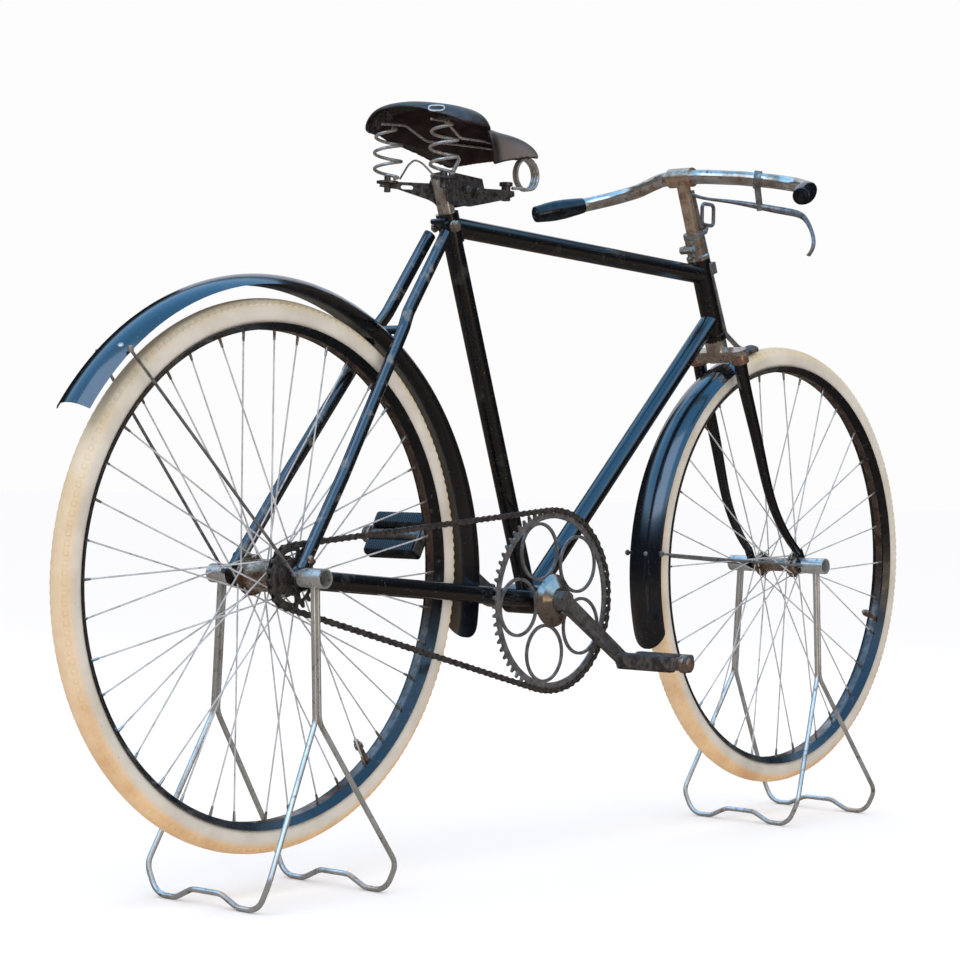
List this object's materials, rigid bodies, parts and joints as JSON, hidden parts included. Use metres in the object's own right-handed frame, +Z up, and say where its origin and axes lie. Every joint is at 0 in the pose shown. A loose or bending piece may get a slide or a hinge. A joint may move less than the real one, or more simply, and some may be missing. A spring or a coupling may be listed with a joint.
{
  "type": "safety bicycle",
  "caption": "Roadster safety bicycle with a steel diamond frame, sprung leather saddle, chain drive and two wire axle stands that hold both wheels clear of the floor.",
  "frame": {"origin": "on the floor, midway between the two axles", "axes": "+X forward, +Y to the rider's left, +Z up"},
  "size_m": [1.8889, 0.525, 1.0516],
  "materials": {
    "enamel": "glossy blue-black stove enamel, worn",
    "nickel": "aged nickel plate, browned",
    "worn_steel": "worn grey steel",
    "chain_steel": "dark oiled steel",
    "bright_wire": "bright zinc-plated wire",
    "spoke_wire": "dull plated wire",
    "cream_tyre": "cream rubber with an ochre tread",
    "rim_enamel": "black enamel",
    "black_rubber": "hard black rubber",
    "saddle_hide": "dark brown worn hide"
  },
  "bodies": {
    "frame": {"bottom_bracket_shell": "enamel", "chain": "chain_steel", "down_tube": "enamel", "head_tube": "enamel", "left_chain_stay": "enamel", "left_seat_stay": "enamel", "rear_axle": "nickel", "rear_guard_stays": "enamel", "rear_mudguard": "enamel", "rear_stand": "bright_wire", "right_chain_stay": "enamel", "right_seat_stay": "enamel", "saddle_cantle": "worn_steel", "saddle_frame": "worn_steel", "saddle_leather": "saddle_hide", "saddle_springs": "worn_steel", "saddle_wires": "worn_steel", "seat_lug": "enamel", "seat_post": "nickel", "seat_tube": "enamel", "stay_bridges": "enamel", "top_tube": "enamel"},
    "steering": {"fork_crown": "nickel", "left_fork_blade": "enamel", "right_fork_blade": "enamel", "head_collar": "nickel", "lamp_bracket": "nickel", "stem": "nickel", "handlebar": "nickel", "left_grip": "black_rubber", "right_grip": "black_rubber", "brake_rod": "worn_steel", "brake_lever": "worn_steel", "front_mudguard": "enamel", "front_axle": "nickel", "front_stand": "bright_wire", "brake_shoe": "black_rubber", "front_guard_stays": "enamel"},
    "front_wheel": {"front_tyre": "cream_tyre", "front_rim": "rim_enamel", "front_hub": "nickel", "front_spokes": "spoke_wire", "front_valve": "nickel"},
    "rear_wheel": {"rear_tyre": "cream_tyre", "rear_rim": "rim_enamel", "rear_hub": "nickel", "rear_spokes": "spoke_wire", "rear_valve": "nickel"},
    "rear_sprocket_body": {"rear_sprocket": "worn_steel"},
    "crankset": {"chainring": "worn_steel", "chainring_boss": "nickel", "crank_axle": "worn_steel", "right_crank": "worn_steel", "left_crank": "worn_steel"},
    "right_pedal": {"right_pedal_cage": "worn_steel", "right_pedal_blocks": "black_rubber"},
    "left_pedal": {"left_pedal_cage": "worn_steel", "left_pedal_blocks": "black_rubber"}
  },
  "joints": [
    {"name": "steering_turn", "type": "hinge", "parent": "frame", "child": "steering", "pos_m": [0.54762, 0, 0.39476], "axis": [-0.373, 0, 0.9278], "range_deg": [-60, 60]},
    {"name": "front_wheel_spin", "type": "hinge", "parent": "steering", "child": "front_wheel", "pos_m": [0.589, 0, 0.4114], "axis": [0, 1, 0], "continuous": true},
    {"name": "rear_wheel_spin", "type": "hinge", "parent": "frame", "child": "rear_wheel", "pos_m": [-0.589, 0, 0.4114], "axis": [0, 1, 0], "continuous": true},
    {"name": "crank_spin", "type": "hinge", "parent": "frame", "child": "crankset", "pos_m": [-0.06, 0, 0.3694], "axis": [0, 1, 0], "continuous": true},
    {"name": "sprocket_spin", "type": "hinge", "parent": "frame", "child": "rear_sprocket_body", "pos_m": [-0.589, 0, 0.4114], "axis": [0, 1, 0], "continuous": true},
    {"name": "right_pedal_spin", "type": "hinge", "parent": "crankset", "child": "right_pedal", "pos_m": [0.08247, -0.1, 0.28037], "axis": [0, 1, 0], "continuous": true},
    {"name": "left_pedal_spin", "type": "hinge", "parent": "crankset", "child": "left_pedal", "pos_m": [-0.20247, 0.1, 0.45843], "axis": [0, 1, 0], "continuous": true}
  ],
  "couplings": [
    {"joint": "sprocket_spin", "follows": "crank_spin", "ratio": 3.2}
  ]
}
